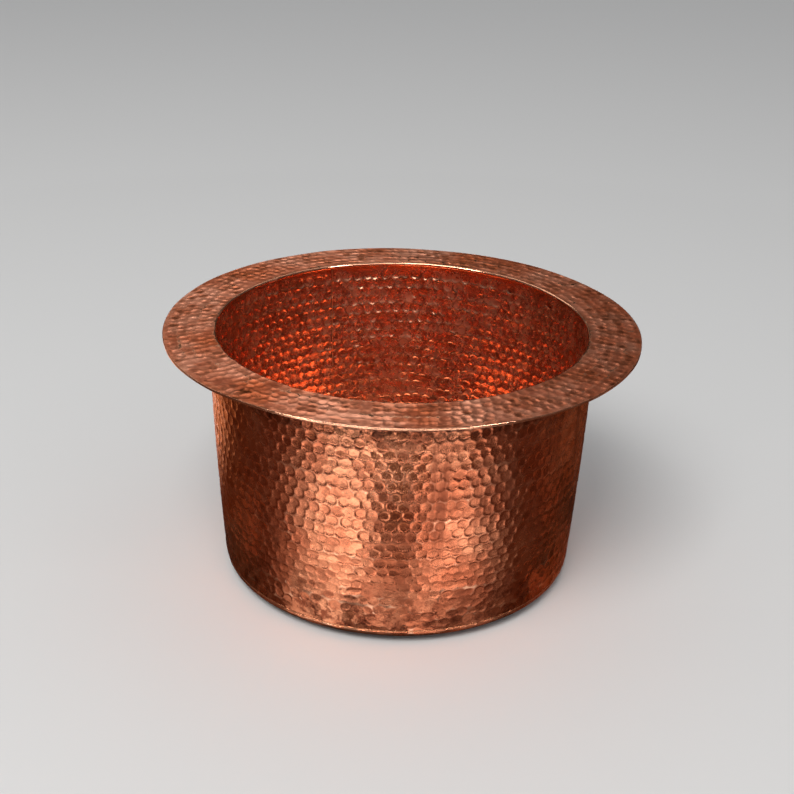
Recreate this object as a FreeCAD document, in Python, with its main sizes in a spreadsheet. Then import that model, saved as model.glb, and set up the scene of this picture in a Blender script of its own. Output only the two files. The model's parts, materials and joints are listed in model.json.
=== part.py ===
"""Round hammered copper basin: a flat-rimmed bowl of three brazed copper sheets.

Frame: millimetres, +Z up along the basin's axis, origin at the centre of the plane it stands on,
which is the underside of the drain seat, the lowest part of the floor pan.

The basin is a body of revolution. Every section is a sketch in the XZ plane, X being the radius,
and the wall, the floor pan and the filler between them follow one outer line:

    rim plate - wall arc - corner - floor - step - drain seat

The wall arc runs from the wall's top, under the rim, down to its foot, where the corner starts.
"""
import FreeCAD, Part
import math
import os
import Sketcher
from FreeCAD import Placement, Rotation, Vector

# Driving dimensions, in millimetres, and in degrees where the name ends in _angle.
SIZES = {
    "overall_height": (221.0, "drain seat underside to rim top"),
    "rim_radius": (203.2, "outer edge of the rim, 16 in across"),
    "rim_width": (44.45, "flat rim from outer edge to opening, 1.75 in"),
    "rim_thickness": (2.0, "rim plate, heavier than the bowl"),
    "edge_round": (0.7, "rounding of the rim's outer edge"),
    "lip_depth": (3.0, "turned inner lip, from the rim's top face down"),
    "lip_width": (1.6, "radial thickness of the lip"),
    "lip_round": (1.2, "rounding where the top face turns into the lip"),
    "sheet": (1.5, "copper sheet of the wall and the floor"),
    "wall_setback": (6.25, "outer face of the wall's top, outside the opening"),
    "wall_taper": (8.5, "how much narrower the wall's foot is than its top"),
    "wall_arc_radius": (3500.0, "belly of the wall, seen in section"),
    "foot_height": (8.0, "foot of the wall above the floor's outer edge"),
    "floor_gap": (1.2, "filler between the wall and the floor pan"),
    "floor_fall": (1.5, "drop of the floor from the corner to the step"),
    "seat_drop": (2.5, "depth of the drain seat below the floor"),
    "step_width": (4.0, "radial width of the slope into the drain seat"),
    "seat_width": (14.0, "flat ring that carries a drain's flange"),
    "drain_radius": (44.45, "drain opening, 3.5 in across"),
    "fillet_leg": (3.0, "leg of the filler fillet under the rim"),
    "seam_gap": (1.2, "filler width in the wall's vertical seam"),
    "seam_angle": (115.0, "place of the seam, from +X towards +Y"),
}

# Heights and radii that follow from them, as expressions of the sheet.
RIM_TOP = "sizes.overall_height"
RIM_UNDER = f"{RIM_TOP} - sizes.rim_thickness"
OPENING = "sizes.rim_radius - sizes.rim_width"
WALL_TOP = f"{OPENING} + sizes.wall_setback"
WALL_FOOT = f"{WALL_TOP} - sizes.wall_taper"
FILLET_REACH = f"{WALL_TOP} + sizes.fillet_leg"
FLOOR_EDGE = "sizes.seat_drop + sizes.floor_fall"
FOOT = f"{FLOOR_EDGE} + sizes.foot_height"
SEAT_OUT = "sizes.drain_radius + sizes.seat_width"
STEP_OUT = f"{SEAT_OUT} + sizes.step_width"
SEAM_SPREAD = f"sizes.seam_gap / ({WALL_TOP}) * 180 / pi"

START, END, CENTRE = 1, 2, 3
ORIGIN = (-1, START)

doc = FreeCAD.newDocument("copper_basin")
sheet = doc.addObject("Spreadsheet::Sheet", "sizes")
for row, (alias, (number, note)) in enumerate(SIZES.items(), start=1):
    sheet.set(f"A{row}", alias)
    sheet.set(f"B{row}", str(number))
    sheet.set(f"C{row}", note)
    sheet.setAlias(f"B{row}", alias)
doc.recompute()


def value(expression):
    """Present value of an expression of the sheet."""
    return float(sheet.evalExpression(expression))


class WallArc:
    """Circle of the wall's outer face in section, for the first values of the sketches."""

    radius = value("sizes.wall_arc_radius")
    top = Vector(value(WALL_TOP), value(RIM_UNDER), 0)
    foot = Vector(value(WALL_FOOT), value(FOOT), 0)
    chord = top - foot
    middle = (top + foot) * 0.5
    inward = Vector(-chord.y, chord.x, 0).normalize()
    centre = middle + inward * math.sqrt(radius ** 2 - (chord.Length / 2) ** 2)

    @classmethod
    def angle(cls, height):
        return math.asin((height - cls.centre.y) / cls.radius)

    @classmethod
    def point(cls, height, depth=0.0):
        """Point of the wall at a height of its outer face, a depth inside that face."""
        angle = cls.angle(height)
        return cls.centre + Vector(math.cos(angle), math.sin(angle), 0) * (cls.radius - depth)


class Section:
    """A body with one sketch in its XZ plane: X is the radius, Y is the height."""

    def __init__(self, name):
        self.body = doc.addObject("PartDesign::Body", name)
        self.body.Label = name
        self.sketch = self.body.newObject("Sketcher::SketchObject", f"{name}_section")
        features = self.body.Origin.OriginFeatures
        plane = next(item for item in features if item.Role == "XZ_Plane")
        self.sketch.AttachmentSupport = [(plane, "")]
        self.sketch.MapMode = "FlatFace"

    def line(self, start, end):
        return self.sketch.addGeometry(Part.LineSegment(start, end), False)

    def arc(self, centre, radius, first_angle, last_angle, helper=False):
        circle = Part.Circle(centre, Vector(0, 0, 1), radius)
        return self.sketch.addGeometry(Part.ArcOfCircle(circle, first_angle, last_angle), helper)

    def tie(self, kind, *references):
        self.sketch.addConstraint(Sketcher.Constraint(kind, *references))

    def bind(self, kind, *references, to):
        """A dimension of the sketch, bound to an expression of the sheet."""
        constraint = Sketcher.Constraint(kind, *references, value(to))
        index = self.sketch.addConstraint(constraint)
        self.sketch.setExpression(f"Constraints[{index}]", to)

    def place(self, geometry, point, radius=None, height=None):
        if radius:
            self.bind("DistanceX", *ORIGIN, geometry, point, to=radius)
        if height:
            self.bind("DistanceY", *ORIGIN, geometry, point, to=height)

    def chain(self, *ends):
        """Join ends of neighbours in pairs: (geometry, point, geometry, point)."""
        for end in ends:
            self.tie("Coincident", *end)

    def wall_face(self, low, high, helper=False):
        """Outer face of the wall, between two heights of it."""
        arc = self.arc(WallArc.centre, WallArc.radius,
                       WallArc.angle(value(low)), WallArc.angle(value(high)), helper)
        self.bind("Radius", arc, to="sizes.wall_arc_radius")
        for radius, height in ((WALL_FOOT, FOOT), (WALL_TOP, RIM_UNDER)):
            mark = self.sketch.addGeometry(Part.Point(Vector(value(radius), value(height), 0)), True)
            self.place(mark, START, radius, height)
            self.tie("PointOnObject", mark, START, arc)
        self.place(arc, START, height=low)
        self.place(arc, END, height=high)
        return arc

    def wall_sheet(self, low, high):
        """The sheet between the wall's two faces; its lower end is square to them."""
        outer = self.wall_face(low, high)
        depth = value("sizes.sheet")
        inner = self.arc(WallArc.centre, WallArc.radius - depth,
                         WallArc.angle(value(low)), WallArc.angle(value(high)))
        self.tie("Coincident", inner, CENTRE, outer, CENTRE)
        self.bind("Radius", inner, to="sizes.wall_arc_radius - sizes.sheet")
        lower = self.line(WallArc.point(value(low)), WallArc.point(value(low), depth))
        upper = self.line(WallArc.point(value(high)), WallArc.point(value(high), depth))
        self.chain((outer, START, lower, START), (inner, START, lower, END),
                   (outer, END, upper, START), (inner, END, upper, END))
        self.tie("PointOnObject", outer, CENTRE, lower)
        return outer, upper

    def revolve(self, angle="360", turn="0"):
        """Revolve about Z, and turn the body so that the sweep starts at an angle from +X."""
        assert self.sketch.solve() == 0, f"{self.body.Label}: the section doesn't solve"
        assert self.sketch.FullyConstrained, f"{self.body.Label}: the section isn't fully constrained"
        sweep = self.body.newObject("PartDesign::Revolution", f"{self.body.Label}_revolution")
        sweep.Profile = self.sketch
        sweep.ReferenceAxis = (self.sketch, ["V_Axis"])
        sweep.Refine = False
        sweep.setExpression("Angle", angle)
        self.body.Placement = Placement(Vector(0, 0, 0), Rotation(Vector(0, 0, 1), value(turn)))
        self.body.setExpression("Placement.Rotation.Angle", turn)
        return self.body


def make_rim_flange():
    """Flat annular plate with a rounded outer edge and an inner lip turned down.

    Its underside is two faces on one plane: the brazed ring, and the ring that rests on a counter.
    """
    section = Section("rim_flange")
    top, under = value(RIM_TOP), value(RIM_UNDER)
    inner, outer = value(OPENING), value("sizes.rim_radius")
    edge, turn = value("sizes.edge_round"), value("sizes.lip_round")
    width = value("sizes.lip_width")
    lip_end = top - value("sizes.lip_depth") + width / 2
    reach = value(FILLET_REACH)

    lip_tip = section.arc(Vector(inner + width / 2, lip_end, 0), width / 2, math.pi, 2 * math.pi)
    lip_back = section.line(Vector(inner + width, lip_end, 0), Vector(inner + width, under, 0))
    brazed = section.line(Vector(inner + width, under, 0), Vector(reach, under, 0))
    underside = section.line(Vector(reach, under, 0), Vector(outer - edge, under, 0))
    low_edge = section.arc(Vector(outer - edge, under + edge, 0), edge, -math.pi / 2, 0)
    rim_edge = section.line(Vector(outer, under + edge, 0), Vector(outer, top - edge, 0))
    high_edge = section.arc(Vector(outer - edge, top - edge, 0), edge, 0, math.pi / 2)
    top_face = section.line(Vector(outer - edge, top, 0), Vector(inner + turn, top, 0))
    lip_turn = section.arc(Vector(inner + turn, top - turn, 0), turn, math.pi / 2, math.pi)
    lip_face = section.line(Vector(inner, top - turn, 0), Vector(inner, lip_end, 0))

    section.chain((lip_back, END, brazed, START), (brazed, END, underside, START))
    for joint in ((lip_tip, END, lip_back, START), (low_edge, START, underside, END),
                  (low_edge, END, rim_edge, START), (high_edge, START, rim_edge, END),
                  (high_edge, END, top_face, START), (lip_turn, START, top_face, END),
                  (lip_turn, END, lip_face, START), (lip_tip, START, lip_face, END)):
        section.tie("Tangent", *joint)
    for upright in (lip_back, rim_edge, lip_face):
        section.tie("Vertical", upright)
    for level in (brazed, underside, top_face):
        section.tie("Horizontal", level)
    section.bind("Radius", low_edge, to="sizes.edge_round")
    section.bind("Radius", high_edge, to="sizes.edge_round")
    section.bind("Radius", lip_turn, to="sizes.lip_round")
    section.bind("Radius", lip_tip, to="sizes.lip_width / 2")
    section.place(rim_edge, START, radius="sizes.rim_radius")
    section.place(lip_face, START, radius=OPENING)
    section.place(underside, START, FILLET_REACH, RIM_UNDER)
    section.place(top_face, START, height=RIM_TOP)
    section.place(lip_tip, CENTRE, height=f"{RIM_TOP} - sizes.lip_depth + sizes.lip_width / 2")
    return section.revolve()


def make_wall_piece(name, angle, turn):
    """The wall's sheet, swept through an angle: the wall itself, or the filler of its seam."""
    section = Section(name)
    _, upper = section.wall_sheet(f"{FOOT} + sizes.floor_gap", RIM_UNDER)
    section.tie("Horizontal", upper)
    return section.revolve(angle, turn)


def make_floor_braze():
    """Ring of filler that closes the gap between the wall and the floor pan."""
    section = Section("floor_braze")
    outer, upper = section.wall_sheet(FOOT, f"{FOOT} + sizes.floor_gap")
    section.tie("PointOnObject", outer, CENTRE, upper)
    return section.revolve()


def make_rim_braze():
    """Fillet of filler between the wall's outer face and the rim's underside."""
    section = Section("rim_braze")
    low = f"{RIM_UNDER} - sizes.fillet_leg"
    outer = section.wall_face(low, RIM_UNDER)
    reach = Vector(value(FILLET_REACH), value(RIM_UNDER), 0)
    upper = section.line(WallArc.point(value(RIM_UNDER)), reach)
    slope = section.line(reach, WallArc.point(value(low)))
    section.chain((outer, END, upper, START), (upper, END, slope, START), (slope, END, outer, START))
    section.tie("Horizontal", upper)
    section.place(upper, END, radius=FILLET_REACH)
    return section.revolve()


def make_floor_pan():
    """Disc with its edge turned up to the wall, falling to a stepped ring round the drain."""
    section = Section("floor_pan")
    depth = value("sizes.sheet")
    foot = WallArc.point(value(FOOT))
    tilt = WallArc.angle(value(FOOT))
    corner = (foot.y - value(FLOOR_EDGE)) / (1 + math.sin(tilt))
    centre = foot - Vector(math.cos(tilt), math.sin(tilt), 0) * corner
    drain, seat_out, step_out = value("sizes.drain_radius"), value(SEAT_OUT), value(STEP_OUT)
    seat_drop = value("sizes.seat_drop")
    low_corner = Vector(centre.x, centre.y - corner, 0)

    wall = section.wall_face(FOOT, RIM_UNDER, helper=True)
    outer = section.arc(centre, corner, -math.pi / 2, tilt)
    floor_under = section.line(low_corner, Vector(step_out, seat_drop, 0))
    step_under = section.line(Vector(step_out, seat_drop, 0), Vector(seat_out, 0, 0))
    seat_under = section.line(Vector(seat_out, 0, 0), Vector(drain, 0, 0))
    bore = section.line(Vector(drain, 0, 0), Vector(drain, depth, 0))
    seat_top = section.line(Vector(drain, depth, 0), Vector(seat_out, depth, 0))
    step_top = section.line(Vector(seat_out, depth, 0), Vector(step_out, seat_drop + depth, 0))
    floor_top = section.line(Vector(step_out, seat_drop + depth, 0), low_corner + Vector(0, depth, 0))
    inner = section.arc(centre, corner - depth, -math.pi / 2, tilt)
    brim = section.line(WallArc.point(foot.y, depth), foot)

    section.tie("Tangent", outer, END, wall, START)
    section.tie("Tangent", outer, START, floor_under, START)
    section.tie("Tangent", inner, START, floor_top, END)
    section.chain((floor_under, END, step_under, START), (step_under, END, seat_under, START),
                  (seat_under, END, bore, START), (bore, END, seat_top, START),
                  (seat_top, END, step_top, START), (step_top, END, floor_top, START),
                  (inner, END, brim, START), (brim, END, outer, END),
                  (inner, CENTRE, outer, CENTRE))
    section.tie("PointOnObject", outer, CENTRE, brim)
    section.tie("Vertical", bore)
    section.tie("Horizontal", seat_top)
    section.tie("Parallel", step_top, step_under)
    section.tie("Parallel", floor_top, floor_under)
    section.bind("Distance", seat_under, START, step_top, to="sizes.sheet")
    section.bind("Distance", floor_under, START, floor_top, to="sizes.sheet")
    section.bind("DistanceY", bore, START, bore, END, to="sizes.sheet")
    section.place(floor_under, START, height=FLOOR_EDGE)
    section.place(step_under, START, STEP_OUT, "sizes.seat_drop")
    section.place(seat_under, START, radius=SEAT_OUT)
    section.tie("PointOnObject", seat_under, START, -1)
    section.place(bore, START, radius="sizes.drain_radius")
    section.tie("PointOnObject", bore, START, -1)
    return section.revolve()


bodies = [
    make_rim_flange(),
    make_wall_piece("side_wall", f"360 - {SEAM_SPREAD}", f"sizes.seam_angle + {SEAM_SPREAD} / 2"),
    make_wall_piece("wall_seam_braze", SEAM_SPREAD, f"sizes.seam_angle - {SEAM_SPREAD} / 2"),
    make_floor_pan(),
    make_floor_braze(),
    make_rim_braze(),
]
doc.recompute()

for item in doc.Objects:
    assert not {"Invalid", "Error"} & set(item.State), f"{item.Label}: {item.State}"

os.makedirs("parts", exist_ok=True)
for body in bodies:
    shape = body.Shape
    assert not shape.isNull() and shape.isValid(), f"{body.Label}: bad shape"
    assert len(shape.Solids) == 1, f"{body.Label}: {len(shape.Solids)} solids"
    shape.exportStep(f"parts/{body.Label}.step")
    box = shape.BoundBox
    print(f"{body.Label:16} volume {shape.Volume:11.1f}  z {box.ZMin:8.3f} to {box.ZMax:8.3f}"
          f"  radius {max(box.XMax, box.YMax):8.3f}")
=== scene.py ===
"""A round hammered copper basin with a wide flat rim, standing on a plain pale floor."""

import json
import math
from collections import namedtuple

import bpy
import numpy as np
from mathutils import Matrix, Vector


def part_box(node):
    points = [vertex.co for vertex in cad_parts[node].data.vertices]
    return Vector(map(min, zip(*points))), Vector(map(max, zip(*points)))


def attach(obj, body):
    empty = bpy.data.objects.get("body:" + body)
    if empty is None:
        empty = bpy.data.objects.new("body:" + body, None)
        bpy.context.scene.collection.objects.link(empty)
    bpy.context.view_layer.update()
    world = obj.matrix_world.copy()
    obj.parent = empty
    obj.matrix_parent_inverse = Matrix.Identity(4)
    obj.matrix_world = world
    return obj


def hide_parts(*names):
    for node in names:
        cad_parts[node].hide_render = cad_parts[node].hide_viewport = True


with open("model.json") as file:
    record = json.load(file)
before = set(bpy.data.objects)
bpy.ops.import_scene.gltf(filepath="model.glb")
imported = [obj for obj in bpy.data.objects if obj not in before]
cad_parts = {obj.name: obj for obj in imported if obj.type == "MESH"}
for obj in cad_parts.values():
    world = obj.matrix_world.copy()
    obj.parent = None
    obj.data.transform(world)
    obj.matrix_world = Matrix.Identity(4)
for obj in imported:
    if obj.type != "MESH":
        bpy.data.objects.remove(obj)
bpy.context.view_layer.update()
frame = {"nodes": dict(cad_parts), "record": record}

MM = 0.001
TAU = 2 * math.pi

# ---------------------------------------------------------------- sizes, in millimetres

boxes = {name: [[c / MM for c in corner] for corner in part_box(name)] for name in frame["nodes"]}
mounts = {mount["name"]: mount for mount in frame["record"]["mounts"]}

RIM_RADIUS = boxes["rim_flange"][1][0]
RIM_TOP = boxes["rim_flange"][1][2]
LIP_TIP = boxes["rim_flange"][0][2]
RIM_UNDER = boxes["side_wall"][1][2]
WALL_TOP = -boxes["side_wall"][0][0]
WALL_END = boxes["side_wall"][0][2]
FOOT_RADIUS = boxes["floor_pan"][1][0]
FOOT = boxes["floor_braze"][0][2]
FILLET_RADIUS = boxes["rim_braze"][1][0]
FILLET_LOW = boxes["rim_braze"][0][2]
DRAIN = mounts["drain_opening"]["dims"]["r_mm"]
SHEET = mounts["drain_opening"]["dims"]["length_mm"]

WALL_BELLY = 3500.0  # radius of the wall's outward bow
WALL_SETBACK = 6.25  # from the rim's opening out to the wall's outer face
EDGE_ROUND = 0.35  # of the rim's outer edge, tighter than the CAD's so that its bright line shows
LIP_ROUND = 1.2
LIP_WIDTH = 1.6
PAN_EDGE = 4.0  # height of the floor's underside at its outer corner
SEAT_DROP = 2.5
SEAT_OUT = DRAIN + 14.0
STEP_OUT = SEAT_OUT + 4.0
PRESS_ROUND = 1.6  # rounding of the pressed step
BORE_ROUND = 0.5  # rounding of the drain opening's edges
FILLET_SWELL = 0.252  # how far the filler under the rim stands proud of a flat slope
SEAM_ANGLE = math.radians(115.0)
SEAM_WIDTH = 1.2

OPENING = WALL_TOP - WALL_SETBACK
RIM_WIDTH = RIM_RADIUS - OPENING
LIP_SIDE = LIP_TIP + LIP_WIDTH / 2  # where the lip's straight sides end
SEAM_SPREAD = SEAM_WIDTH / WALL_TOP

# Columns round each mesh, and rows down each face of the wall and of its foot.
WALL_COLUMNS, WALL_ROWS = 1280, 250
SEAM_COLUMNS, FOOT_ROWS = 5, 3
RIM_COLUMNS, FLOOR_COLUMNS, FILLET_COLUMNS = 1040, 660, 720


# ---------------------------------------------------------------- section lines


class Line:
    """A line of the basin's section: points (radius, height), measured along from its first point."""

    REACH = 0.3  # how far each side of a place its slope is read

    def __init__(self, points, outward):
        self.points = np.array(points, float)
        steps = np.hypot(*np.diff(self.points, axis=0).T)
        self.points = self.points[np.r_[True, steps > 1e-6]]
        steps = steps[steps > 1e-6]
        self.along = np.r_[0, np.cumsum(steps)]
        self.outward = outward
        self.length = self.along[-1]

    def spot(self, s):
        """Radius and height at each distance along the line."""
        return [np.interp(s, self.along, self.points[:, axis]) for axis in (0, 1)]

    def at(self, s):
        """Radius, height and the way out of the metal at each distance along the line."""
        r, z = self.spot(s)
        ahead_r, ahead_z = self.spot(np.clip(s + self.REACH, 0, self.length))
        behind_r, behind_z = self.spot(np.clip(s - self.REACH, 0, self.length))
        dr, dz = ahead_r - behind_r, ahead_z - behind_z
        size = np.hypot(dr, dz)
        return r, z, self.outward * -dz / size, self.outward * dr / size

    def where_height(self, z):
        """Distance along at which the line first comes down to a height."""
        rises = np.flatnonzero(np.diff(self.points[:, 1]) >= 0)
        falling = int(rises[0]) + 1 if len(rises) else len(self.points)
        return float(np.interp(-z, -self.points[:falling, 1], self.along[:falling]))


def arc(centre, radius, start, stop, count):
    angles = np.linspace(start, stop, count)
    return [(centre[0] + radius * math.cos(a), centre[1] + radius * math.sin(a)) for a in angles]


def eased(points, radius):
    """The same run of points with every inner corner rounded."""
    out = [points[0]]
    for before, corner, after in zip(points, points[1:], points[2:]):
        before, corner, after = Vector(before), Vector(corner), Vector(after)
        back, on = (before - corner).normalized(), (after - corner).normalized()
        cut = radius * math.tan((math.pi - back.angle(on)) / 2)
        for t in np.linspace(0, 1, 7):
            a, b = corner + back * cut, corner + on * cut
            p = a.lerp(corner, t).lerp(corner.lerp(b, t), t)
            out.append((p.x, p.y))
    out.append(points[-1])
    return out


def bowl_line(inset):
    """The bowl's outer face, or its inner face one sheet inside it, from the rim to the drain."""
    top, foot = Vector((WALL_TOP, RIM_UNDER)), Vector((FOOT_RADIUS, FOOT))
    chord = foot - top
    half = chord.length / 2
    inward = Vector((chord.y, -chord.x)).normalized()
    belly = top + chord / 2 + inward * math.sqrt(WALL_BELLY**2 - half**2)
    first = math.atan2(top.y - belly.y, top.x - belly.x)
    last = math.atan2(foot.y - belly.y, foot.x - belly.x)
    wall = arc(belly, WALL_BELLY - inset, first, last, 60)
    tilt = -last
    corner = (FOOT - PAN_EDGE) / (1 + math.sin(tilt))
    centre = foot - Vector((math.cos(tilt), -math.sin(tilt))) * corner
    turn = arc(centre, corner - inset, -tilt, -math.pi / 2, 24)
    under = eased(
        [(centre.x, PAN_EDGE + inset), (STEP_OUT, SEAT_DROP + inset), (SEAT_OUT, inset), (DRAIN, inset)],
        PRESS_ROUND,
    )
    return Line(wall + turn[1:] + under[1:], -1 if inset else 1)


outer, inner = bowl_line(0.0), bowl_line(SHEET)


# ---------------------------------------------------------------- hammer blows


# A dish: its angle round the axis, its place along the line, half its size across and along, its depth,
# how far it leans, how its depth tips, its tone from 0 to 1 and how steep its edge is.
Blow = namedtuple("Blow", "angle s half_u half_v depth lean tip tone power")


class Blows:
    """Hammer blows on one face: each a shallow dish at an angle round the axis and a place along the line."""

    SHARPNESS = 45.0  # how crisply two dishes meet, per millimetre of depth
    BRIM = 1.3  # where a dish's shape ends, in half sizes from its middle
    FAR = 1.35  # where a face stops counting as near a dish
    UNEVEN = 0.24  # the most that a dish's depth differs, as a share
    TIP, MOST_TIP = 0.26, 0.5  # how much a dish's depth tips across it, usually and at most

    def __init__(self, line, seed):
        self.line = line
        self.random = np.random.default_rng(seed)
        self.blows = []

    def ring(self, s, width, height, depth, phase, jitter, wave=0.0, power=5.0, crowd=0.965):
        """One ring of blows; width, height and depth are a dish's own, and jitter is a share of them."""
        r = float(self.line.at(np.array([s]))[0][0])
        count = max(6, round(TAU * r / (width * crowd)))
        rnd = self.random
        angles = (np.arange(count) + phase + rnd.normal(0, 0.4 * jitter, count)) * TAU / count
        k, swing = rnd.integers(2, 6), rnd.uniform(0, TAU)
        drift = wave * np.sin(k * angles + swing) + 0.5 * wave * np.sin((k + 4) * angles - swing)
        for a, d in zip(angles, drift):
            self.blows.append(Blow(
                angle=a % TAU,
                s=s + d + rnd.normal(0, 0.3 * jitter * height),
                half_u=width / 2 * (1.02 + rnd.normal(0, 0.5 * jitter)),
                half_v=height / 2 * (1.04 + rnd.normal(0, 0.5 * jitter)),
                depth=depth * (1 + np.clip(rnd.normal(0, 1.1 * jitter), -self.UNEVEN, self.UNEVEN)),
                lean=rnd.normal(0, 0.6 * jitter),
                tip=depth * np.clip(rnd.normal(0, self.TIP, 2), -self.MOST_TIP, self.MOST_TIP),
                tone=rnd.uniform(0, 1),
                power=power,
            ))

    def nick(self, angle, s, width, depth):
        """One small sharp dent."""
        half_v = width * 0.32
        self.blows.append(Blow(angle % TAU, s, width / 2, half_v, depth, lean=0.2, tip=(0.0, 0.0), tone=1.0,
                               power=3.0))

    def press(self, first, step, count, closed, s):
        """Depth, nearness to a blow's middle and that blow's tone, on rows at s and columns of angle."""
        r = self.line.at(s)[0]
        total = np.ones((len(s), count))
        nearest = np.full((len(s), count), self.FAR)
        tone = np.full((len(s), count), 0.5)
        for blow in self.blows:
            reach = self.BRIM * max(blow.half_v, 0.6 * blow.half_u)
            i0, i1 = np.searchsorted(s, [blow.s - reach, blow.s + reach])
            if i0 == i1:
                continue
            span = self.FAR * blow.half_u / float(r[i0:i1].min()) / step
            for turn in (0,) if closed else (-1, 0, 1):
                middle = ((blow.angle - first) % TAU + turn * TAU) / step
                j = np.arange(math.ceil(middle - span), math.floor(middle + span) + 1)
                if not closed:
                    j = j[(j >= 0) & (j < count)]
                if not len(j):
                    continue
                u = (j - middle)[None, :] * step * r[i0:i1, None]
                v = (s[i0:i1] - blow.s)[:, None]
                across, down = (u + blow.lean * v) / blow.half_u, (v - blow.lean * u) / blow.half_v
                d = np.sqrt(across**2 + down**2)
                dish = blow.depth + blow.tip[0] * across + blow.tip[1] * down
                dish = dish * (1 - np.minimum(d, self.BRIM) ** blow.power)
                block = np.ix_(np.arange(i0, i1), j % count)
                total[block] += np.where(d < self.BRIM, np.exp(self.SHARPNESS * dish), 0)
                closer = d < nearest[block]
                nearest[block] = np.where(closer, d, nearest[block])
                tone[block] = np.where(closer, blow.tone, tone[block])
        return np.log(total) / self.SHARPNESS, 1 - nearest / self.FAR, tone


# The wall's zones from the rim down: the share of the way to the foot where each ends, then its dishes'
# width, height and depth, their jitter, how far a ring waves and how closely its dishes crowd.
WALL_ZONES = (
    (0.08, 10.2, 9.2, 0.62, 0.16, 0.6, 0.96),
    (0.56, 9.8, 9.4, 0.52, 0.14, 0.9, 0.965),
    (0.82, 11.0, 8.4, 0.52, 0.18, 1.1, 0.86),
    (math.inf, 9.8, 7.6, 0.40, 0.28, 1.6, 0.95),
)


def wall_blows(line, seed, start, strength):
    """Close rings of round dishes, flatter and wider low down; also returns where the next would be."""
    blows = Blows(line, seed)
    foot = line.where_height(FOOT)
    s, phase = start, 0.0
    while s < foot + 4:
        width, height, depth, jitter, wave, crowd = next(zone[1:] for zone in WALL_ZONES if s / foot < zone[0])
        blows.ring(s, width, height, depth * strength, phase, jitter, wave, crowd=crowd)
        phase += 0.5 + blows.random.normal(0, 0.09)
        s += height * 0.945 + blows.random.normal(0, 0.22)
    return blows, s


def floor_rings(blows, s, stop, strength):
    """Loose rings of wide, shallow marks across the floor."""
    phase = 0.0
    while s < stop:
        blows.ring(s, 12.5, 11.5, 0.11 * strength, phase, 0.16, 0.8, power=2.2)
        phase += 0.5 + blows.random.normal(0, 0.12)
        s += 10.4 + blows.random.normal(0, 0.3)


RINGS_END = 26  # how far short of the drain the rings stop, so that the seat stays smooth
PIT_ANGLE, PIT_HEIGHT = math.radians(272.9), 16
NICKS, NICK_HEIGHTS, NICK_WIDTHS = 26, (16, 48), (2.0, 3.6)

outside_blows, reached = wall_blows(outer, 11, 6.5, 1.0)
floor_rings(outside_blows, reached + 8, outer.length - RINGS_END, 0.9)
outside_blows.nick(PIT_ANGLE, outer.where_height(PIT_HEIGHT), 5.0, 0.75)
for _ in range(NICKS):
    nick_angle = outside_blows.random.uniform(0, TAU)
    nick_height = outside_blows.random.uniform(*NICK_HEIGHTS)
    nick_width = outside_blows.random.uniform(*NICK_WIDTHS)
    outside_blows.nick(nick_angle, outer.where_height(nick_height), nick_width, 0.45)
inside_blows, reached = wall_blows(inner, 23, 11.5, 0.95)
floor_rings(inside_blows, reached + 6, inner.length - RINGS_END, 1.5)

# The rim's two flat faces, from the opening out.
rim_upper = Line([(OPENING, RIM_TOP), (RIM_RADIUS, RIM_TOP)], 1)
rim_lower = Line([(OPENING, RIM_UNDER), (RIM_RADIUS, RIM_UNDER)], -1)
rim_blows, under_blows = Blows(rim_upper, 37), Blows(rim_lower, 41)
for ring, s in enumerate((5.6, 13.2, 20.9, 28.6, 36.2)):
    rim_blows.ring(s, 8.6, 8.0, 0.36, 0.5 * ring, 0.26, 0.9, power=3.2)
rim_blows.ring(41.8, 10.0, 5.4, 0.10, 0.3, 0.2, 0.2, power=2.3)
for ring, s in enumerate((15.5, 26.0, 36.5)):
    under_blows.ring(s, 11.5, 10.8, 0.13, 0.5 * ring, 0.2, 0.6, power=2.3)


# ---------------------------------------------------------------- meshes


def waves(angle, *terms):
    """Waves round the axis, each of a size in millimetres, a number of crests and a phase."""
    return sum(size * np.sin(crests * angle + phase) for size, crests, phase in terms)


def hand_worked(r, z, angle):
    """The slight unevenness of a piece beaten by hand: out of round, and a rim that isn't dead flat."""
    lift = np.clip((z - 30) / 180, 0, 1)
    r = r + lift * waves(angle, (0.22, 2, 0.7), (0.12, 5, 2.1))
    wing = np.clip((r - WALL_TOP - 4) / 30, 0, 1) * np.clip((z - 200) / 15, 0, 1)
    z = z + wing * waves(angle, (0.28, 3, 1.3), (0.14, 8, 0.2), (0.07, 17, 0.0))
    r = r + wing * waves(angle, (0.16, 7, 0.4), (0.10, 19, 1.9))
    lip = np.clip((OPENING + 3.2 - r) / 2, 0, 1) * np.clip((z - 200) / 15, 0, 1)
    r = r + lip * waves(angle, (0.18, 9, 0.9), (0.12, 23, 0.0), (0.06, 41, 0.0))
    return r, z


def strip(line, s, blows=None, inside=0.0, fade=None, polish=0.3):
    """Rows of a section: places along a line, the blows on that face and how they fade."""
    s = np.asarray(s, float)
    weight = np.ones(len(s)) if fade is None else fade(s)
    return {"line": line, "s": s, "blows": blows, "inside": inside, "weight": weight, "polish": polish}


def edge_strip(points, inside=0.0):
    """Rows of a section with no blows on them: an edge, a lip or a fillet."""
    line = Line(points, 1)
    return strip(line, line.along, None, inside, polish=0.0)


def spaced(start, stop, pitch):
    return np.linspace(start, stop, max(2, round(abs(stop - start) / pitch) + 1))


def beaten(part, start, step, columns, closed):
    """A strip's depth, nearness to a blow's middle and tone, on its rows and the mesh's columns."""
    s = part["s"]
    if not part["blows"]:
        return [np.full((len(s), columns), level) for level in (0.0, part["polish"], 0.4)]
    if s[-1] >= s[0]:
        return part["blows"].press(start, step, columns, closed, s)
    return [field[::-1] for field in part["blows"].press(start, step, columns, closed, s[::-1])]


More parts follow.
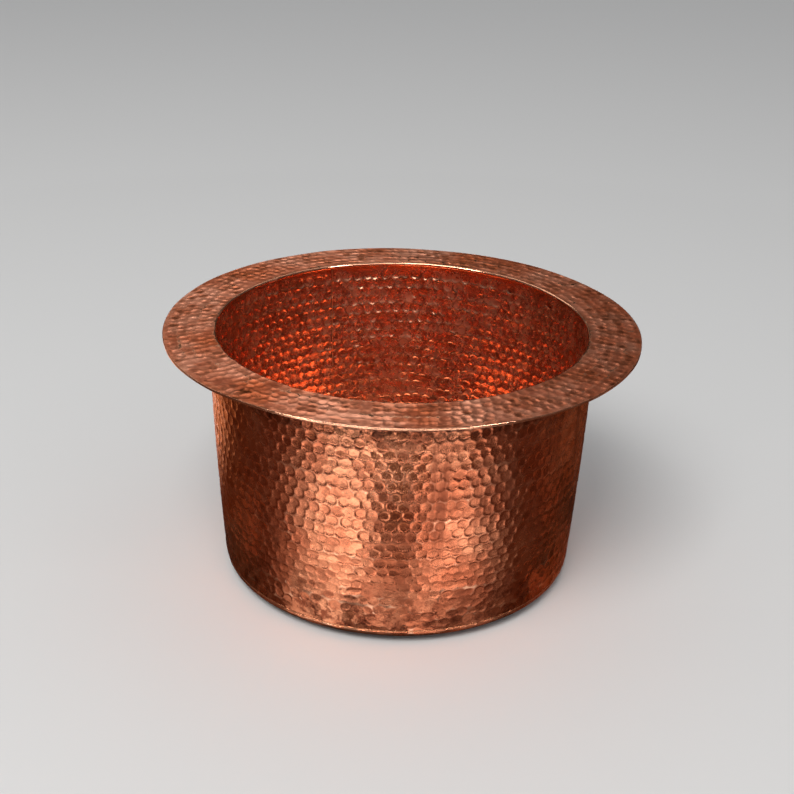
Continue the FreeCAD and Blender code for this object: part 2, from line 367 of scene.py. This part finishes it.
UV_GAP = 0.004  # between a map's islands
CAP_ROOM = 0.02  # kept at the map's top for the end faces of an open piece
CAP_LOW, CAP_STEP, CAP_TALL = 0.982, 0.009, 0.006


def unrolled(r, z, across, sweep, closed):
    """Each face's place on the unrolled sheet: bands of columns, one above another."""
    length = np.hypot(np.diff(r[:, 0]), np.diff(z[:, 0])).sum()
    bands = max(1, round(math.sqrt(r.mean() * sweep / length)))
    per_band = math.ceil(across / bands)
    rounds = [np.diff(np.r_[side[:, 0], side[0, 0]]) for side in (r, z)]
    travel = np.r_[0, np.cumsum(np.hypot(*rounds))]
    travel = travel / travel[-1]
    column = np.arange(across)
    band, place = column // per_band, (column % per_band) / per_band
    room = 1 - 3 * UV_GAP - (0 if closed else CAP_ROOM)
    u0 = UV_GAP + (1 - 2 * UV_GAP) * place
    u1 = UV_GAP + (1 - 2 * UV_GAP) * (place + 1 / per_band)

    def shelf(t):
        return UV_GAP + (band[None, :] + UV_GAP + (1 - 2 * UV_GAP) * t[:, None]) / bands * room

    low, high = shelf(travel[:-1]), shelf(travel[1:])
    left, right = np.broadcast_to(u0, low.shape), np.broadcast_to(u1, low.shape)
    corners = (left, low), (left, high), (right, high), (right, low)
    return np.stack([np.stack(corner, -1) for corner in corners], axis=2).reshape(-1, 4, 2)


def end_caps(index):
    """Faces, and their places on the map, that close the two ends of an open piece."""
    rows, columns = index.shape
    half = rows // 2
    i = np.arange(half - 1)
    j = rows - 1 - i
    faces, uvs = [], []
    for side, col in enumerate((0, columns - 1)):
        cap = np.stack([index[i, col], index[j, col], index[j - 1, col], index[i + 1, col]], -1)
        t0, t1 = (UV_GAP + (1 - 2 * UV_GAP) * k / half for k in (i, i + 1))
        v0, v1 = (np.full(len(i), CAP_LOW + CAP_STEP * side + k) for k in (0.0, CAP_TALL))
        box = np.stack([np.stack(p, -1) for p in ((t0, v0), (t0, v1), (t1, v1), (t1, v0))], 1)
        faces.append(cap if side == 0 else cap[:, ::-1])
        uvs.append(box if side == 0 else box[:, ::-1])
    return faces, uvs


def make_piece(name, points, faces, uvs, fields):
    """A smooth mesh of quads, with its map and its fields for the material."""
    mesh = bpy.data.meshes.new(name)
    mesh.vertices.add(points.size // 3)
    mesh.vertices.foreach_set("co", points.astype(np.float32).ravel())
    mesh.loops.add(faces.size)
    mesh.loops.foreach_set("vertex_index", faces.astype(np.int32).ravel())
    mesh.polygons.add(len(faces))
    mesh.polygons.foreach_set("loop_start", np.arange(0, faces.size, 4, dtype=np.int32))
    mesh.uv_layers.new(name="OFBake").data.foreach_set("uv", uvs.astype(np.float32).ravel())
    for label, field in fields.items():
        layer = mesh.attributes.new(label, "FLOAT", "POINT")
        layer.data.foreach_set("value", np.vstack(field).astype(np.float32).ravel())
    mesh.update()
    mesh.validate()
    mesh.shade_smooth()
    piece = bpy.data.objects.new(name, mesh)
    bpy.context.scene.collection.objects.link(piece)
    return piece


def revolved(name, strips, columns, start=0.0, sweep=TAU):
    """A closed solid: the section's strips, end to end round the section, swept about the axis."""
    closed = abs(sweep - TAU) < 1e-9
    step = sweep / (columns if closed else columns - 1)
    angle = start + step * np.arange(columns)
    radii, heights = [], []
    fields = {"hollow": [], "tone": [], "inside": []}
    for part in strips:
        r, z, out_r, out_z = part["line"].at(part["s"])
        depth, near, tone = beaten(part, start, step, columns, closed)
        depth = depth * part["weight"][:, None]
        radii.append(r[:, None] - depth * out_r[:, None])
        heights.append(z[:, None] - depth * out_z[:, None])
        fields["hollow"].append(near)
        fields["tone"].append(tone)
        fields["inside"].append(np.full(depth.shape, part["inside"]))
    r, z = hand_worked(np.vstack(radii), np.vstack(heights), angle[None, :])
    points = np.stack([r * np.cos(angle), r * np.sin(angle), z], axis=-1) * MM

    index = np.arange(r.size).reshape(r.shape)
    on = np.roll(index, -1, axis=0)
    if closed:
        quads = np.stack([index, on, np.roll(on, -1, axis=1), np.roll(index, -1, axis=1)], axis=-1)
    else:
        quads = np.stack([index[:, :-1], on[:, :-1], on[:, 1:], index[:, 1:]], axis=-1)
    faces, uvs = quads.reshape(-1, 4), unrolled(r, z, quads.shape[1], sweep, closed)
    if not closed:
        ends, end_uvs = end_caps(index)
        faces, uvs = np.vstack([faces, *ends]), np.concatenate([uvs, *end_uvs])

    # The faces are turned outward if they enclose less than nothing.
    first, *rest = np.moveaxis(points.reshape(-1, 3)[faces], 1, 0)
    volume = sum(np.einsum("ij,ij->i", first, np.cross(a, b)).sum() for a, b in zip(rest, rest[1:]))
    if volume < 0:
        faces, uvs = faces[:, ::-1], uvs[:, ::-1]
    return make_piece(name, points, faces, uvs, fields)


def below(edge, width):
    """Blows that fade in over a width past an edge."""
    return lambda s: np.clip((s - edge) / width, 0, 1) ** 0.8


def sheet_strips(outer_span, inner_span, rows):
    """The two faces of a stretch of wall, with the same number of rows on each."""
    return [
        strip(outer, np.linspace(*outer_span, rows), outside_blows),
        strip(inner, np.linspace(*inner_span[::-1], rows), inside_blows, inside=1.0, fade=below(4.0, 9.0)),
    ]


wall_stop = outer.where_height(WALL_END)
foot_out = outer.where_height(FOOT)
# The sheet is cut square at its foot, so the inner face ends level with the outer.
inner_top = inner.where_height(RIM_UNDER)
inner_stop = inner_top + wall_stop * (WALL_BELLY - SHEET) / WALL_BELLY
inner_foot = inner_stop + (foot_out - wall_stop)
wall_faces = sheet_strips((0, wall_stop), (inner_top, inner_stop), WALL_ROWS)
foot_faces = sheet_strips((wall_stop, foot_out), (inner_stop, inner_foot), FOOT_ROWS)

wall = revolved("hammered_wall", wall_faces, WALL_COLUMNS, SEAM_ANGLE + SEAM_SPREAD / 2, TAU - SEAM_SPREAD)
seam = revolved("wall_seam", wall_faces, SEAM_COLUMNS, SEAM_ANGLE - SEAM_SPREAD / 2, SEAM_SPREAD)
foot_ring = revolved("foot_seam", foot_faces, WALL_COLUMNS)


def floor_rows(line, foot):
    """Places from the foot to the drain: close at the corner and at the step, wider between them."""
    close, wide, end = 0.9, 1.8, line.length
    return np.r_[
        spaced(foot, foot + 14, close),
        spaced(foot + 15.2, end - 24, wide),
        spaced(end - 23.2, end - BORE_ROUND, close),
    ]


pan = revolved(
    "hammered_floor",
    [
        strip(outer, floor_rows(outer, foot_out), outside_blows),
        edge_strip(arc((DRAIN + BORE_ROUND, BORE_ROUND), BORE_ROUND, -math.pi / 2, -math.pi, 4)),
        edge_strip(arc((DRAIN + BORE_ROUND, SHEET - BORE_ROUND), BORE_ROUND, math.pi, math.pi / 2, 4)),
        strip(inner, floor_rows(inner, inner_foot)[::-1], inside_blows, inside=1.0),
    ],
    FLOOR_COLUMNS,
)

rim_edge = RIM_RADIUS - EDGE_ROUND
rim = revolved(
    "hammered_rim",
    [
        strip(rim_upper, spaced(LIP_ROUND + 0.3, RIM_WIDTH - EDGE_ROUND - 0.3, 1.1), rim_blows),
        edge_strip(arc((rim_edge, RIM_TOP - EDGE_ROUND), EDGE_ROUND, math.pi / 2, 0, 6)),
        edge_strip(arc((rim_edge, RIM_UNDER + EDGE_ROUND), EDGE_ROUND, 0, -math.pi / 2, 6)),
        strip(rim_lower, spaced(RIM_WIDTH - EDGE_ROUND - 0.5, FILLET_RADIUS - OPENING + 0.5, 1.7), under_blows),
        strip(rim_lower, spaced(FILLET_RADIUS - OPENING, LIP_WIDTH + 0.05, 2.0)),
        edge_strip([(OPENING + LIP_WIDTH, RIM_UNDER - 0.02), (OPENING + LIP_WIDTH, LIP_SIDE + 0.1)], 1.0),
        edge_strip(arc((OPENING + LIP_WIDTH / 2, LIP_SIDE), LIP_WIDTH / 2, 0, -math.pi, 8), 1.0),
        edge_strip([(OPENING, LIP_SIDE + 0.2), (OPENING, RIM_TOP - LIP_ROUND - 0.2)], 1.0),
        edge_strip(arc((OPENING + LIP_ROUND, RIM_TOP - LIP_ROUND), LIP_ROUND, math.pi, math.pi / 2, 6)),
    ],
    RIM_COLUMNS,
)

low_s = outer.where_height(FILLET_LOW)
low_radius = outer.spot(low_s)[0]
fillet_face = [
    (FILLET_RADIUS + (low_radius - FILLET_RADIUS) * t,
     RIM_UNDER - (RIM_UNDER - FILLET_LOW) * t + FILLET_SWELL * math.sin(math.pi * t))
    for t in np.linspace(0, 1, 7)
]
fillet = revolved(
    "rim_fillet",
    [
        edge_strip(fillet_face),
        strip(outer, np.linspace(low_s - 0.05, 0.0, 4)),
        strip(rim_lower, np.linspace(WALL_TOP - OPENING + 0.1, FILLET_RADIUS - OPENING - 0.1, 3)),
    ],
    FILLET_COLUMNS,
)


# ---------------------------------------------------------------- materials


class Nodes:
    """A material's node tree, with short calls for the nodes used here."""

    COLOUR_A, COLOUR_B, COLOUR_OUT = 6, 7, 2  # a Mix node's sockets for colours

    def __init__(self, name):
        self.material = bpy.data.materials.new(name)
        self.material.use_nodes = True
        self.tree = self.material.node_tree
        self.tree.nodes.clear()
        self.output = self.add("ShaderNodeOutputMaterial")
        self.shader = self.add("ShaderNodeBsdfPrincipled")
        self.link(self.shader.outputs[0], self.output.inputs[0])

    def add(self, kind, **settings):
        node = self.tree.nodes.new(kind)
        for key, setting in settings.items():
            setattr(node, key, setting)
        return node

    def link(self, source, target):
        if isinstance(source, (int, float, tuple)):
            target.default_value = source
        else:
            self.tree.links.new(source, target)

    def attribute(self, name):
        return self.add("ShaderNodeAttribute", attribute_name=name).outputs["Fac"]

    def place(self, scale=(1, 1, 1)):
        where = self.add("ShaderNodeTexCoord").outputs["Object"]
        stretch = self.add("ShaderNodeMapping")
        self.link(where, stretch.inputs["Vector"])
        stretch.inputs["Scale"].default_value = scale
        return stretch.outputs[0]

    def height(self):
        split = self.add("ShaderNodeSeparateXYZ")
        self.link(self.place(), split.inputs[0])
        return split.outputs["Z"]

    def distance_from(self, spot):
        apart = self.add("ShaderNodeVectorMath", operation="DISTANCE")
        self.link(self.place(), apart.inputs[0])
        apart.inputs[1].default_value = spot
        return apart.outputs["Value"]

    def noise(self, scale, detail=3.0, rough=0.55, stretch=(1, 1, 1)):
        node = self.add("ShaderNodeTexNoise")
        self.link(self.place(stretch), node.inputs["Vector"])
        for key, setting in (("Scale", scale), ("Detail", detail), ("Roughness", rough)):
            node.inputs[key].default_value = setting
        return node.outputs["Fac"]

    def ramp(self, source, low, high, out_low=0.0, out_high=1.0):
        node = self.add("ShaderNodeMapRange", interpolation_type="SMOOTHSTEP")
        self.link(source, node.inputs["Value"])
        for key, setting in zip(("From Min", "From Max", "To Min", "To Max"), (low, high, out_low, out_high)):
            node.inputs[key].default_value = setting
        return node.outputs["Result"]

    def math(self, operation, a, b=0.0, clamp=False):
        node = self.add("ShaderNodeMath", operation=operation, use_clamp=clamp)
        self.link(a, node.inputs[0])
        self.link(b, node.inputs[1])
        return node.outputs[0]

    def plus(self, a, b):
        return self.math("ADD", a, b)

    def less(self, a, b):
        return self.math("SUBTRACT", a, b)

    def times(self, a, b):
        return self.math("MULTIPLY", a, b)

    def mix(self, factor, a, b, blend="MIX"):
        node = self.add("ShaderNodeMix", data_type="RGBA", blend_type=blend)
        self.link(factor, node.inputs["Factor"])
        self.link(a, node.inputs[self.COLOUR_A])
        self.link(b, node.inputs[self.COLOUR_B])
        return node.outputs[self.COLOUR_OUT]

    def bump(self, height, strength, distance, normal=None):
        node = self.add("ShaderNodeBump")
        self.link(height, node.inputs["Height"])
        self.link(strength, node.inputs["Strength"])
        node.inputs["Distance"].default_value = distance
        if normal is not None:
            self.link(normal, node.inputs["Normal"])
        return node.outputs[0]


COPPER = (0.86, 0.335, 0.175, 1)
# Worn copper; also the painted highlight along the ridges inside the bowl.
WORN_AND_SHEEN = (0.93, 0.47, 0.29, 1)
DEEP = (0.62, 0.160, 0.072, 1)
BROWN = (0.260, 0.064, 0.031, 1)
STAIN = (0.180, 0.062, 0.036, 1)
PINK = (0.88, 0.400, 0.260, 1)
BRIGHT = (0.84, 0.430, 0.265, 1)
# The soot colour also serves as painted shade below the rim and on its underside.
SOOT_AND_SHADE = (0.050, 0.018, 0.012, 1)
FILLER, DULL_FILLER = (0.80, 0.31, 0.15, 1), (0.52, 0.17, 0.08, 1)
GRAZING = (1.0, 0.60, 0.42, 1)  # the metal's tint at a grazing angle


def copper(name, clean=COPPER, brown=0.45, spots=0.3, matte=0.0, streaks=0.0, worn=0.5, rim_shade_and_low_mottle=0.0,
           burn=None, under=0.0):
    """Hammered copper gone a little brown: cleaner on the ridges, darker in some dishes, with a few pits.

    Brown is the film's strength, spots the stain in some dishes, streaks the runs down the outside, worn the
    rubbed ridges, rim_shade_and_low_mottle the painted shade in a band just below the rim, standing in for the
    rim's shadow, and the mottled foot, burn one dark spot's place and its size, and under the painted shade
    on the rim's underside.
    """
    m = Nodes(name)
    hollow, tone, inside = m.attribute("hollow"), m.attribute("tone"), m.attribute("inside")
    broad, middle, fine = m.noise(14, 4), m.noise(75, 4, 0.6), m.noise(520, 3, 0.6)
    height = m.height()

    # The metal itself: deeper in some dishes, brighter inside the bowl; then a darker ring near each dish's
    # border, painted shade for the dark reflections of the ridges' slopes, stronger inside the bowl.
    colour = m.mix(m.ramp(broad, 0.35, 0.68), clean, DEEP)
    colour = m.mix(m.times(m.ramp(tone, 0.15, 1.0), 0.55), colour, DEEP)
    colour = m.mix(m.times(inside, 0.85), colour, BRIGHT)
    # Painted shade: a darker ring near each dish's border, stronger inside the bowl.
    ring = m.times(m.ramp(hollow, 0.10, 0.24), m.ramp(hollow, 0.42, 0.26))
    colour = m.mix(m.times(ring, m.plus(0.14, m.times(inside, 0.38))), colour, BROWN)

    # A brown film, in patches and runs.
    patches = m.times(m.ramp(middle, 0.42, 0.74), m.ramp(broad, 0.30, 0.62, 0.35, 1.0))
    film = m.times(patches, m.less(brown, m.times(inside, 0.3 * brown)))
    if streaks:
        runs = m.noise(60, 4, 0.6, stretch=(1, 1, 0.10))
        sides = m.noise(9, 2, 0.5, stretch=(1, 1, 0.25))
        streak = m.times(m.ramp(runs, 0.46, 0.68), m.ramp(sides, 0.44, 0.62))
        film = m.math("MAXIMUM", film, m.times(streak, m.less(streaks, m.times(inside, streaks))))
    colour = m.mix(film, colour, BROWN)

    # Ridges rubbed clean, lighter still inside the bowl as a painted highlight along the ridges; stained dishes
    # and a few pits.
    rubbed = m.times(m.ramp(hollow, 0.30, 0.12), m.ramp(middle, 0.75, 0.40, 0.35, 1.0))
    wear_and_inner_sheen = m.math("ADD", worn, m.times(inside, 0.35), clamp=True)
    colour = m.mix(m.times(rubbed, wear_and_inner_sheen), colour, WORN_AND_SHEEN)
    blotch = m.plus(hollow, m.times(m.less(m.noise(170, 3, 0.6), 0.5), 2.3))
    stained = m.times(m.ramp(tone, 0.25, 1.0), m.ramp(blotch, 0.25, 1.0))
    colour = m.mix(m.times(stained, spots), colour, STAIN)
    speck = m.times(m.ramp(m.noise(260, 1, 0.4), 0.745, 0.80), m.ramp(broad, 0.42, 0.60))
    colour = m.mix(m.times(speck, 0.75), colour, SOOT_AND_SHADE)

    # Marks: one burn; painted shade on the rim's underside and in a band just below the rim, standing in for
    # the rim's shadow; and the mottled foot, browner towards the bottom.
    if burn:
        spot, size = burn
        ragged = m.ramp(m.noise(240, 3, 0.6), 0.3, 0.7, -2.0 * MM, 2.0 * MM)
        burnt = m.ramp(m.plus(m.distance_from(spot), ragged), size * MM, 0.4 * size * MM)
        colour = m.mix(m.times(burnt, 0.8), colour, SOOT_AND_SHADE)
    # Painted shade: the rim's underside darkened towards the soot colour.
    if under:
        beneath = m.ramp(height, (RIM_TOP - 0.8) * MM, (RIM_UNDER + 0.2) * MM)
        colour = m.mix(m.times(beneath, under), colour, SOOT_AND_SHADE)
    # Painted shade: a dark band just below the rim, standing in for the rim's shadow; then brown mottling on
    # the foot.
    if rim_shade_and_low_mottle:
        under_rim = m.times(m.ramp(height, 0.181, 0.203), m.less(1.0, inside))
        painted_rim_shadow = m.times(under_rim, m.ramp(m.noise(130, 4, 0.65), 0.42, 0.57, 0.28, 1.0))
        low_down = m.times(m.ramp(height, 0.075, 0.020), m.ramp(m.noise(95, 5, 0.75), 0.45, 0.62))
        colour = m.mix(m.times(painted_rim_shadow, rim_shade_and_low_mottle), colour, SOOT_AND_SHADE)
        colour = m.mix(m.times(low_down, rim_shade_and_low_mottle), colour, BROWN)

    # Faces beyond every dish, such as plain edges, are bright and smooth.
    edge = m.ramp(hollow, 0.09, 0.01)
    colour = m.mix(m.times(edge, 0.85), colour, WORN_AND_SHEEN)

    rough = m.ramp(middle, 0.25, 0.80, 0.15 + matte, 0.27 + matte)
    rough = m.plus(rough, m.times(film, 0.20))
    rough = m.plus(rough, m.ramp(fine, 0.3, 0.8, -0.03, 0.06))
    rough = m.less(rough, m.times(edge, 0.10 + matte))
    rough = m.plus(rough, m.times(inside, 0.03))

    m.link(colour, m.shader.inputs["Base Color"])
    m.shader.inputs["Metallic"].default_value = 1.0
    m.shader.inputs["Specular Tint"].default_value = GRAZING
    m.link(rough, m.shader.inputs["Roughness"])
    feel = m.times(m.ramp(hollow, 0.0, 0.12, 0.03, 0.32), m.less(1.0, m.times(inside, 0.7)))
    lumps = m.bump(m.noise(170, 3, 0.55), feel, 0.9 * MM)
    scratches = m.noise(900, 2, 0.5, stretch=(0.25, 0.25, 1.0))
    grain = m.plus(m.noise(620, 4, 0.65), m.times(scratches, 0.3))
    m.link(m.bump(grain, feel, 0.16 * MM, lumps), m.shader.inputs["Normal"])
    return m.material


def braze(name):
    """Filler metal: yellower than the sheet, dull and uneven."""
    m = Nodes(name)
    flow, grain = m.noise(120, 4), m.noise(900, 3)
    colour = m.mix(m.ramp(flow, 0.35, 0.7), FILLER, DULL_FILLER)
    colour = m.mix(m.ramp(grain, 0.62, 0.74), colour, SOOT_AND_SHADE)
    m.link(colour, m.shader.inputs["Base Color"])
    m.shader.inputs["Metallic"].default_value = 1.0
    m.link(m.ramp(flow, 0.3, 0.7, 0.28, 0.42), m.shader.inputs["Roughness"])
    m.link(m.bump(m.plus(flow, grain), 0.5, 0.2 * MM), m.shader.inputs["Normal"])
    return m.material


# Where the pit near the foot and the spot on the rim's front left are dark.
FOOT_PIT = (0.0080, -0.1568, 0.0160)
RIM_SPOT = (-0.119, -0.147, RIM_TOP * MM)

body_copper = copper("copper_body", brown=0.50, spots=0.42, streaks=0.80, worn=0.22, rim_shade_and_low_mottle=0.95,
                     burn=(FOOT_PIT, 3.4))
rim_copper = copper("copper_rim", PINK, brown=0.90, spots=0.90, matte=0.14, worn=0.22,
                    burn=(RIM_SPOT, 6.5), under=0.75)
floor_copper = copper("copper_floor", brown=0.50, spots=0.30, matte=0.04, worn=0.5)
filler = braze("braze")

for piece, node, material, slot in (
    (wall, "side_wall", body_copper, "copper_wall"),
    (rim, "rim_flange", rim_copper, "copper_rim"),
    (pan, "floor_pan", floor_copper, "copper_floor"),
    (seam, "wall_seam_braze", filler, "braze"),
    (foot_ring, "floor_braze", filler, "braze"),
    (fillet, "rim_braze", filler, "braze"),
):
    piece.data.materials.append(material)
    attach(piece, "root")
    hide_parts(node)


# ---------------------------------------------------------------- floor and room

PALE = (0.66, 0.65, 0.635, 1)
# The metal sees the floor darker than it is, as it would with dark cards laid round it in a studio.
DARK_FLOOR, LIGHT_FLOOR = (0.040, 0.020, 0.014, 1), (0.26, 0.135, 0.092, 1)
SPAN = 40.0

floor_mesh = bpy.data.meshes.new("floor")
floor_corners = [(-SPAN, -SPAN, 0), (SPAN, -SPAN, 0), (SPAN, SPAN, 0), (-SPAN, SPAN, 0)]
floor_mesh.from_pydata(floor_corners, [], [(0, 1, 2, 3)])
floor = bpy.data.objects.new("floor", floor_mesh)
bpy.context.scene.collection.objects.link(floor)
ground = Nodes("pale_floor")
mirrored = ground.mix(ground.ramp(ground.noise(9, 3, 0.5), 0.44, 0.60), DARK_FLOOR, LIGHT_FLOOR)
glossy = ground.add("ShaderNodeLightPath").outputs["Is Glossy Ray"]
ground.link(ground.mix(glossy, PALE, mirrored), ground.shader.inputs["Base Color"])
ground.shader.inputs["Roughness"].default_value = 0.8
floor_mesh.materials.append(ground.material)

# The room is pale, and the metal sees it darker and in soft patches.
world = bpy.data.worlds.new("studio")
world.use_nodes = True
nodes, links = world.node_tree.nodes, world.node_tree.links
sky = nodes["Background"]
sky.inputs["Color"].default_value = (0.95, 0.97, 1.0, 1)
ray, around, clouds, dim, room = (
    nodes.new(f"ShaderNode{kind}") for kind in ("LightPath", "TexCoord", "TexNoise", "MapRange", "MapRange")
)
clouds.inputs["Scale"].default_value, clouds.inputs["Detail"].default_value = 2.6, 1.0
for key, setting in (("From Min", 0.42), ("From Max", 0.62), ("To Min", 0.03), ("To Max", 0.20)):
    dim.inputs[key].default_value = setting
room.inputs["To Min"].default_value = 0.52
for source, target in (
    (around.outputs["Generated"], clouds.inputs["Vector"]),
    (clouds.outputs["Fac"], dim.inputs["Value"]),
    (dim.outputs["Result"], room.inputs["To Max"]),
    (ray.outputs["Is Glossy Ray"], room.inputs["Value"]),
    (room.outputs["Result"], sky.inputs["Strength"]),
):
    links.new(source, target)
bpy.context.scene.world = world


# ---------------------------------------------------------------- lights


def softbox(name, azimuth, distance, height, aim_height, size, glow, lights_floor=False):
    """A soft light at an azimuth from the front, aimed at the basin's axis."""
    a = math.radians(azimuth)
    where = Vector((distance * math.sin(a), -distance * math.cos(a), height))
    light = bpy.data.lights.new(name, "AREA")
    light.shape = "RECTANGLE"
    light.size, light.size_y = size
    light.energy = glow * math.pi * size[0] * size[1]
    lamp = bpy.data.objects.new(name, light)
    lamp.location = where
    lamp.rotation_euler = (where - Vector((0, 0, aim_height))).to_track_quat("Z", "Y").to_euler()
    lamp.visible_camera = False
    lamp.visible_diffuse = lights_floor
    bpy.context.scene.collection.objects.link(lamp)


def smooth(x, low, high):
    t = np.clip((x - low) / (high - low), 0, 1)
    return t * t * (3 - 2 * t)


def between(x, rise, fall):
    """1 between two soft steps, each from one place to another, and 0 outside them."""
    return smooth(x, *rise) * (1 - smooth(x, *fall))


CARD_FANS = np.linspace(-48, 48, 97)  # the angle of each column of a card, from its middle
# How far out a card's rows lie, close together where its glow changes fast.
CARD_ROWS = (0.004, 0.03, 0.06, 0.09, 0.12, 0.16, 0.22, 0.28, 0.31, 0.345, 0.38, 0.45, 0.465, 0.53, 0.55, 0.64)
CARD_HEIGHT = 3 * MM
CARD_TINT = (0.090, 0.046, 0.031, 1)


def card_glow(fan, out):
    """A bright band each way, dimmer near the foot, and a strip that the rim's edge mirrors."""
    left = (1.35 * smooth(fan, -34, -17) + 0.25 * smooth(fan, -46, -30)) * (1 - smooth(fan, -9.0, -6.5))
    right = 1.45 * between(fan, (6.0, 8.5), (14, 36))
    band = (left + right) * between(out, (0.05, 0.13), (0.23, 0.32))
    near = 0.50 * (1 - smooth(out, 0.06, 0.16)) * between(fan, (-47, -25), (12, 40))
    edge = 3.6 * between(out, (0.45, 0.465), (0.53, 0.55)) * between(fan, (-30, -21), (15, 22))
    fill = 0.055 * between(fan, (-44, -22), (14, 44)) * (1 - smooth(out, 0.36, 0.50))
    return band + near + edge + fill


def low_card(name, turn, level, spread):
    """A glowing card that lies low beside the basin and shows only in the metal.

    Its columns follow what the wall mirrors at angles from that side.
    """
    fan, out = np.meshgrid(CARD_FANS, CARD_ROWS)
    a = np.radians(fan)
    x = FOOT_RADIUS * MM * np.sin(a) + spread * out * np.sin(2 * a)
    y = -FOOT_RADIUS * MM * np.cos(a) - spread * out * np.cos(2 * a)
    glow = level * card_glow(fan, out)
    rows, wide = fan.shape
    faces = [(i, i + wide, i + wide + 1, i + 1) for row in range(rows - 1)
             for i in range(row * wide, row * wide + wide - 1)]
    mesh = bpy.data.meshes.new(name)
    mesh.from_pydata(np.stack([x, y, np.full_like(x, CARD_HEIGHT)], -1).reshape(-1, 3).tolist(), [], faces)
    mesh.attributes.new("glow", "FLOAT", "POINT").data.foreach_set("value", glow.astype(np.float32).ravel())
    card = Nodes(name)
    lit = card.add("ShaderNodeEmission")
    patchy = card.ramp(card.noise(46, 2, 0.5), 0.38, 0.62, 0.20, 1.75)
    uneven = card.times(card.attribute("glow"), patchy)
    card.link(card.mix(1.0, CARD_TINT, uneven, "ADD"), lit.inputs["Color"])
    underneath = card.add("ShaderNodeNewGeometry").outputs["Backfacing"]
    card.link(card.less(1.0, underneath), lit.inputs["Strength"])
    card.link(lit.outputs[0], card.output.inputs[0])
    mesh.materials.append(card.material)
    piece = bpy.data.objects.new(name, mesh)
    piece.rotation_euler.z = math.radians(turn)
    piece.visible_camera = piece.visible_diffuse = piece.visible_shadow = False
    bpy.context.scene.collection.objects.link(piece)


softbox("key", -20, 2.3, 3.2, 0.1, (1.9, 1.7), 10, lights_floor=True)
softbox("back_box", -174, 2.3, 2.15, 0.2, (1.0, 0.9), 2.3)
softbox("far_box", -128, 2.3, 1.8, 0.2, (1.2, 0.9), 1.1)
softbox("front_box", 13, 1.9, 0.85, 0.20, (1.2, 0.5), 5.5)
softbox("left_box", -50, 2.0, 1.9, 0.10, (0.7, 0.7), 28)
softbox("right_box", 48, 2.0, 1.9, 0.10, (0.6, 0.6), 34)
low_card("front_card", 0, 1.14, 1.0)
low_card("rear_card", 205, 0.7, 1.8)


# ---------------------------------------------------------------- camera

# The camera stands in front, raised and turned a touch.
DISTANCE, RAISED = 1.1189, math.radians(21.7613)
PITCH, YAW, ROLL = math.radians(24.9924), math.radians(0.1642), math.radians(1.5214)
camera_data = bpy.data.cameras.new("camera")
camera_data.lens, camera_data.sensor_width = 59.0, 36.0
camera = bpy.data.objects.new("camera", camera_data)
back = Vector((math.sin(YAW) * math.cos(PITCH), -math.cos(YAW) * math.cos(PITCH), math.sin(PITCH)))
right = Vector((0, 0, 1)).cross(back).normalized()
up = back.cross(right)
turned_right = right * math.cos(ROLL) + up * math.sin(ROLL)
turned_up = up * math.cos(ROLL) - right * math.sin(ROLL)
camera.matrix_world = Matrix.Translation(
    (0, -DISTANCE * math.cos(RAISED), RIM_TOP * MM + DISTANCE * math.sin(RAISED))
) @ Matrix((turned_right, turned_up, back)).transposed().to_4x4()
bpy.context.scene.collection.objects.link(camera)
bpy.context.scene.camera = camera
bpy.context.scene.view_settings.view_transform = "Standard"
